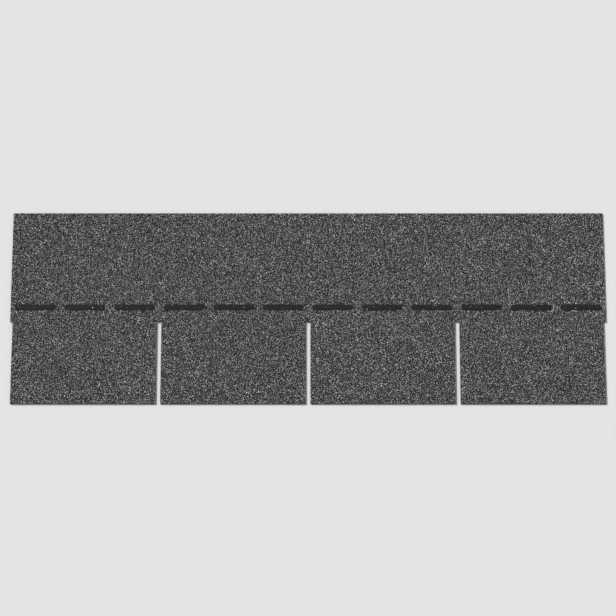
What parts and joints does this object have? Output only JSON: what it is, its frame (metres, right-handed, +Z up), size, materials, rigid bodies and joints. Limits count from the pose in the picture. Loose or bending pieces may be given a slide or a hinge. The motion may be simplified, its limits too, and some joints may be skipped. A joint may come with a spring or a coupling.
{
  "type": "asphalt strip shingle",
  "caption": "Flat asphalt roofing strip with a dark granule face, rectangular tabs parted by narrow slots, a dashed self-seal line above them and a release film in the back.",
  "frame": {"origin": "middle of the strip's underside, which lies flat at Z = 0", "axes": "+X runs along the strip, +Y from the tabs' lower edge to the head edge, +Z up out of the granule face"},
  "size_m": [1, 0.336, 0.004],
  "materials": {
    "granule_sheet": "matte",
    "seal_bitumen": "satin",
    "release_film": "satin"
  },
  "bodies": {
    "root": {"shingle_sheet": "granule_sheet", "seal_dashes": "seal_bitumen", "release_film": "release_film"}
  },
  "joints": []
}
